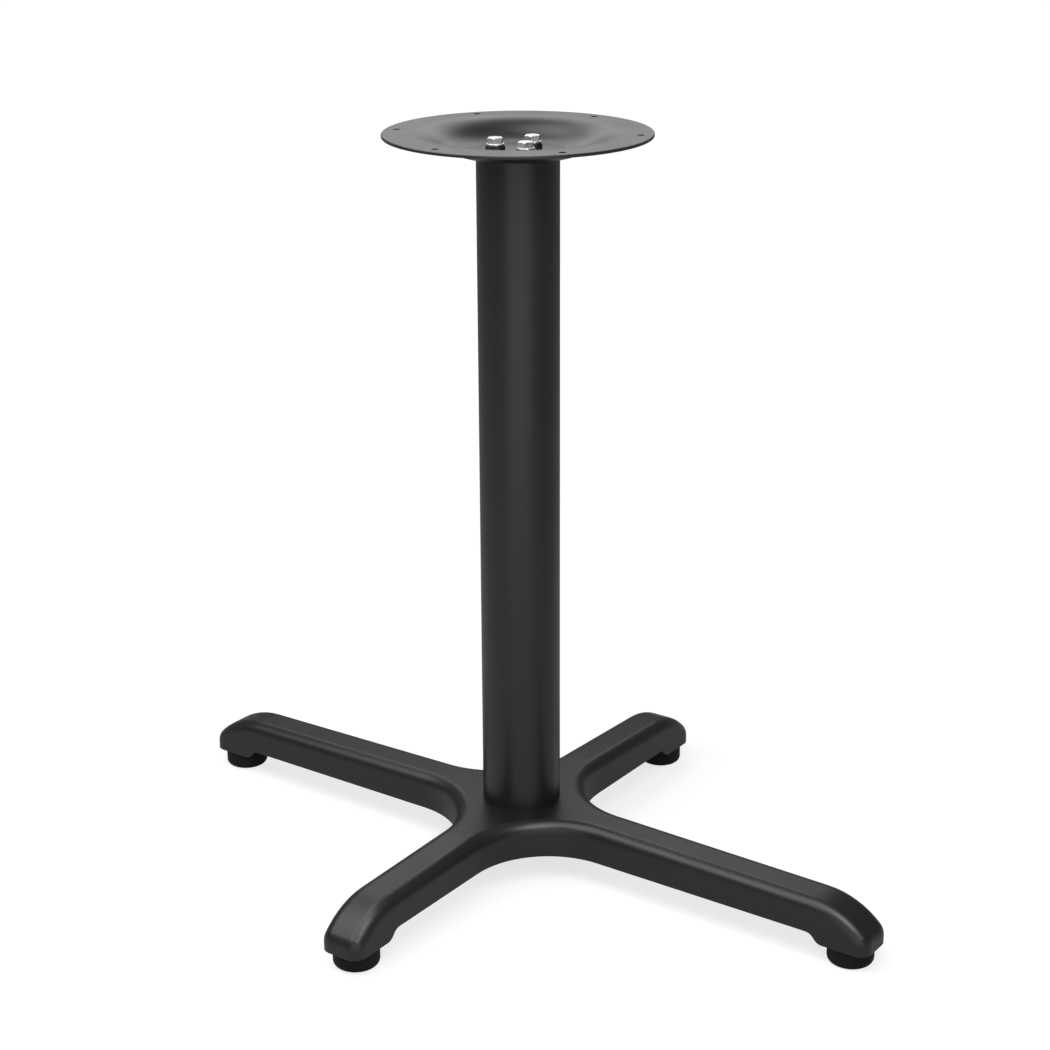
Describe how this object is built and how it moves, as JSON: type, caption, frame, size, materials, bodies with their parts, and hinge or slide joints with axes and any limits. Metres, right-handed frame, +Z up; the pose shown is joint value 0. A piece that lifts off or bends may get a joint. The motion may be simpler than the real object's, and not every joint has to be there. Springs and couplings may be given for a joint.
{
  "type": "four star table base",
  "caption": "Table base with a pressed steel cross foot on levelling glides, a round column and a dished round top plate drilled for table-top screws.",
  "frame": {"origin": "on the floor, on the column's axis, with the glides screwed fully in", "axes": "+Z up along the column, +X along the long pair of arms, +Y along the short pair"},
  "size_m": [0.786, 0.574, 0.72],
  "materials": {
    "black_coat": "satin black powder coat with a fine grain",
    "bare_steel": "plain rolled steel",
    "zinc_plate": "bright zinc plate",
    "black_plastic": "moulded, matt"
  },
  "bodies": {
    "base": {"top_plate": "black_coat", "column_tube": "black_coat", "column_top_disc": "bare_steel", "column_foot_disc": "bare_steel", "cross_base": "black_coat", "hub_disc": "black_coat", "column_bolts": "zinc_plate", "column_washers": "zinc_plate", "foot_nuts": "zinc_plate", "foot_plate_right": "black_coat", "foot_plate_back": "black_coat", "foot_plate_left": "black_coat", "foot_plate_front": "black_coat"},
    "glide_right": {"glide_pad_right": "black_plastic", "glide_stud_right": "zinc_plate"},
    "glide_back": {"glide_pad_back": "black_plastic", "glide_stud_back": "zinc_plate"},
    "glide_left": {"glide_pad_left": "black_plastic", "glide_stud_left": "zinc_plate"},
    "glide_front": {"glide_pad_front": "black_plastic", "glide_stud_front": "zinc_plate"}
  },
  "joints": [
    {"name": "glide_right_level", "type": "slide", "parent": "base", "child": "glide_right", "axis": [0, 0, -1], "range_m": [0, 0.01]},
    {"name": "glide_back_level", "type": "slide", "parent": "base", "child": "glide_back", "axis": [0, 0, -1], "range_m": [0, 0.01]},
    {"name": "glide_left_level", "type": "slide", "parent": "base", "child": "glide_left", "axis": [0, 0, -1], "range_m": [0, 0.01]},
    {"name": "glide_front_level", "type": "slide", "parent": "base", "child": "glide_front", "axis": [0, 0, -1], "range_m": [0, 0.01]}
  ]
}
